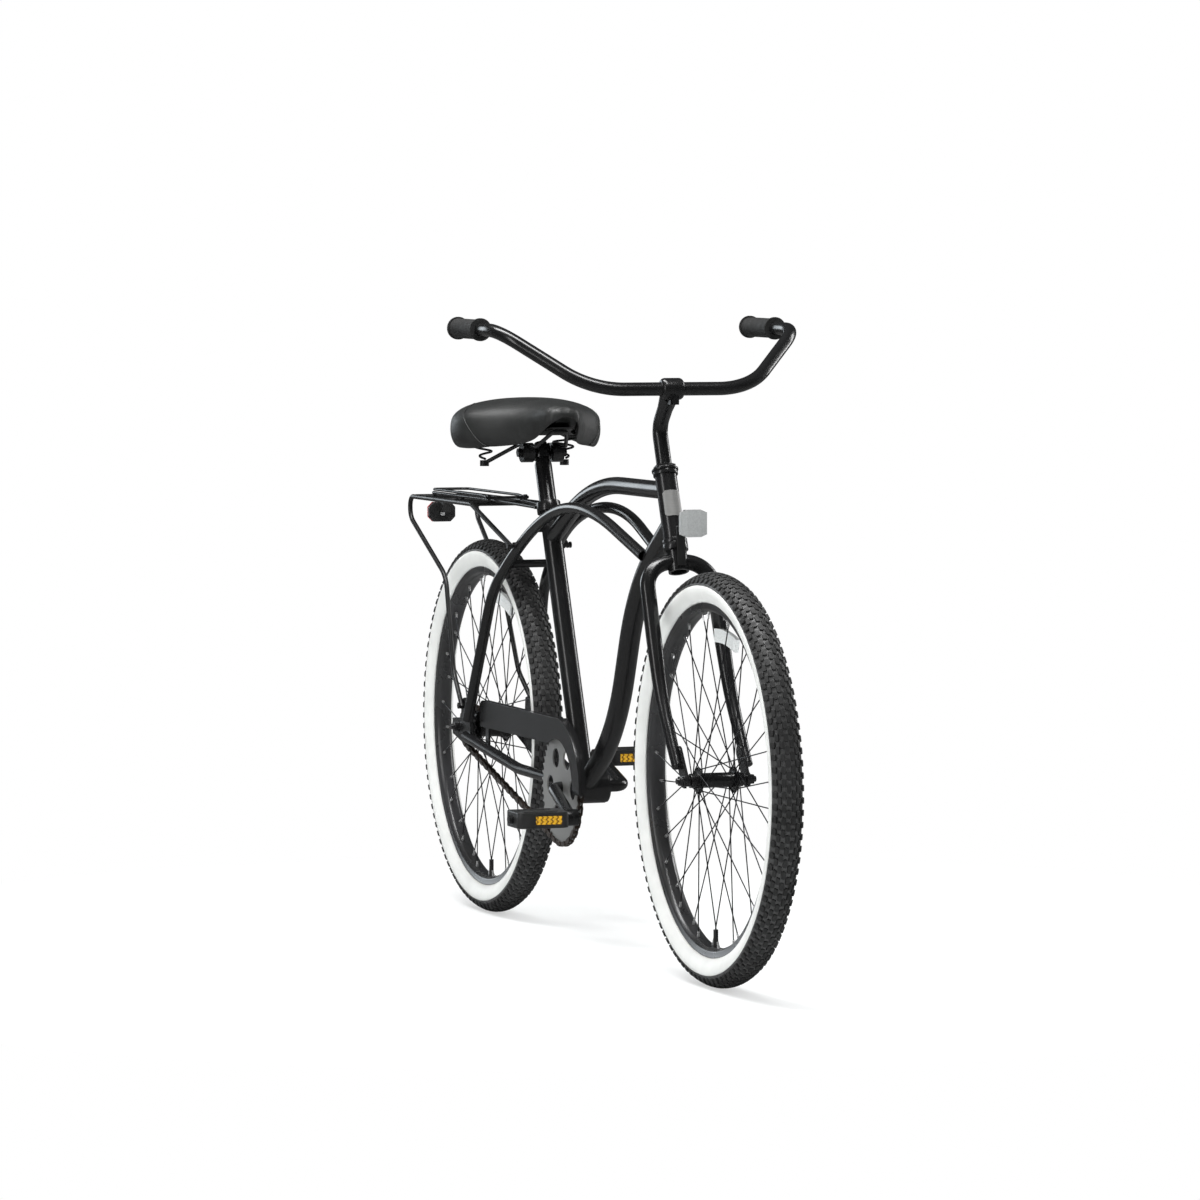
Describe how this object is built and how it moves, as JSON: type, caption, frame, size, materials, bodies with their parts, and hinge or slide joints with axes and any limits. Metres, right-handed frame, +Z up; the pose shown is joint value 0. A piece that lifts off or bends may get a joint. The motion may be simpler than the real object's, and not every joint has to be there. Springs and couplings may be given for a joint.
{
  "type": "beach cruiser bicycle",
  "caption": "Single-speed cruiser bicycle with swept handlebar, sprung wide saddle, curved tube frame, coaster hub, chain guard, rear carrier and white-walled balloon tyres.",
  "frame": {"origin": "on the ground, midway between the two wheel axles, in the frame's middle plane", "axes": "+X forward, +Y to the rider's left, +Z up"},
  "size_m": [1.808, 0.559, 1.0719],
  "materials": {
    "frame_paint": "gloss",
    "rim_paint": "satin",
    "hub_paint": "satin",
    "black_steel": "satin",
    "bright_steel": "zinc plated",
    "spoke_steel": "blackened",
    "chain_steel": "oiled",
    "badge_metal": "satin, left bare",
    "tyre_rubber": "matte",
    "white_rubber": "matte",
    "inner_rubber": "matte",
    "grip_rubber": "matte",
    "black_plastic": "matte",
    "saddle_cover": "grained vinyl",
    "clear_reflector": "prismatic",
    "amber_reflector": "prismatic",
    "red_reflector": "prismatic"
  },
  "bodies": {
    "frame": {"head_tube": "frame_paint", "top_tube": "frame_paint", "down_tube": "frame_paint", "seat_tube": "frame_paint", "bottom_bracket_shell": "frame_paint", "side_tubes": "frame_paint", "chain_stays": "frame_paint", "rear_dropouts": "frame_paint", "stay_bridges": "frame_paint", "head_badge": "badge_metal", "bearing_cups": "black_steel", "bearing_rings": "bright_steel", "seat_clamp": "frame_paint", "chain_guard": "frame_paint", "fixings": "bright_steel", "chain": "chain_steel", "rear_axle": "bright_steel", "brake_arm": "frame_paint", "rack_sides": "frame_paint", "rack_deck": "frame_paint", "rear_reflector_housing": "black_plastic", "rear_reflector_lens": "red_reflector"},
    "rack_clip": {"rack_clip": "frame_paint"},
    "fork": {"fork_steerer": "frame_paint", "fork_blades": "frame_paint", "headset_races": "black_steel", "front_axle": "bright_steel", "front_reflector_bracket": "black_plastic", "front_reflector_lens": "clear_reflector"},
    "stem": {"stem": "frame_paint"},
    "handlebar": {"handlebar": "frame_paint", "grips": "grip_rubber"},
    "front_wheel": {"front_tyre": "tyre_rubber", "front_whitewalls": "white_rubber", "front_rim": "rim_paint", "front_inner_tube": "inner_rubber", "front_spokes": "spoke_steel", "front_hub": "hub_paint", "front_wheel_reflector": "clear_reflector"},
    "rear_wheel": {"rear_tyre": "tyre_rubber", "rear_whitewalls": "white_rubber", "rear_rim": "rim_paint", "rear_inner_tube": "inner_rubber", "rear_spokes": "spoke_steel", "rear_hub": "hub_paint", "rear_wheel_reflector": "clear_reflector"},
    "rear_cog": {"rear_cog": "black_steel"},
    "crank": {"crank": "frame_paint", "chainring": "black_steel", "crank_hardware": "bright_steel"},
    "pedal_right": {"pedal_right": "black_plastic", "pedal_right_reflectors": "amber_reflector"},
    "pedal_left": {"pedal_left": "black_plastic", "pedal_left_reflectors": "amber_reflector"},
    "seat_post": {"seat_post": "frame_paint"},
    "saddle_rails": {"saddle_rails": "black_steel", "saddle_springs": "black_steel"},
    "saddle": {"saddle_pan": "black_plastic", "saddle_cushion": "saddle_cover"}
  },
  "joints": [
    {"name": "steering", "type": "hinge", "parent": "frame", "child": "fork", "pos_m": [0.37706, 0, 0.71011], "axis": [-0.3746, 0, 0.9272], "range_deg": [-80, 80]},
    {"name": "front_wheel_spin", "type": "hinge", "parent": "fork", "child": "front_wheel", "pos_m": [0.57, 0, 0.334], "axis": [0, 1, 0], "continuous": true},
    {"name": "rear_wheel_spin", "type": "hinge", "parent": "frame", "child": "rear_wheel", "pos_m": [-0.57, 0, 0.334], "axis": [0, 1, 0], "continuous": true},
    {"name": "crank_spin", "type": "hinge", "parent": "frame", "child": "crank", "pos_m": [-0.06354, 0, 0.268], "axis": [0, 1, 0], "continuous": true, "deforming": ["chain"]},
    {"name": "cog_spin", "type": "hinge", "parent": "frame", "child": "rear_cog", "pos_m": [-0.57, 0, 0.334], "axis": [0, 1, 0], "continuous": true},
    {"name": "pedal_right_spin", "type": "hinge", "parent": "crank", "child": "pedal_right", "pos_m": [0.10079, -0.083, 0.23307], "axis": [0, 1, 0], "continuous": true},
    {"name": "pedal_left_spin", "type": "hinge", "parent": "crank", "child": "pedal_left", "pos_m": [-0.22787, 0.083, 0.30293], "axis": [0, 1, 0], "continuous": true},
    {"name": "seat_height", "type": "slide", "parent": "frame", "child": "seat_post", "axis": [-0.3746, 0, 0.9272], "range_m": [-0.04, 0.09]},
    {"name": "saddle_tilt", "type": "hinge", "parent": "seat_post", "child": "saddle_rails", "pos_m": [-0.2914, 0, 0.83199], "axis": [0, 1, 0], "range_deg": [-12, 12]},
    {"name": "saddle_bounce", "type": "hinge", "parent": "saddle_rails", "child": "saddle", "pos_m": [-0.19296, 0, 0.8707], "axis": [0, 1, 0], "range_deg": [-3.5, 0], "stiffness_Nm_per_rad": 1200, "springref_deg": 1.15, "deforming": ["saddle_springs"]},
    {"name": "stem_height", "type": "slide", "parent": "fork", "child": "stem", "axis": [-0.3746, 0, 0.9272], "range_m": [-0.02, 0.03]},
    {"name": "bar_roll", "type": "hinge", "parent": "stem", "child": "handlebar", "pos_m": [0.36265, 0, 0.95666], "axis": [0, 1, 0], "range_deg": [-25, 25]},
    {"name": "rack_clip_hinge", "type": "hinge", "parent": "frame", "child": "rack_clip", "pos_m": [-0.48, 0, 0.74615], "axis": [0, 1, 0], "range_deg": [0, 70], "stiffness_Nm_per_rad": 0.5, "springref_deg": -45.84}
  ],
  "couplings": [
    {"joint": "cog_spin", "follows": "crank_spin", "ratio": 2.6667}
  ]
}
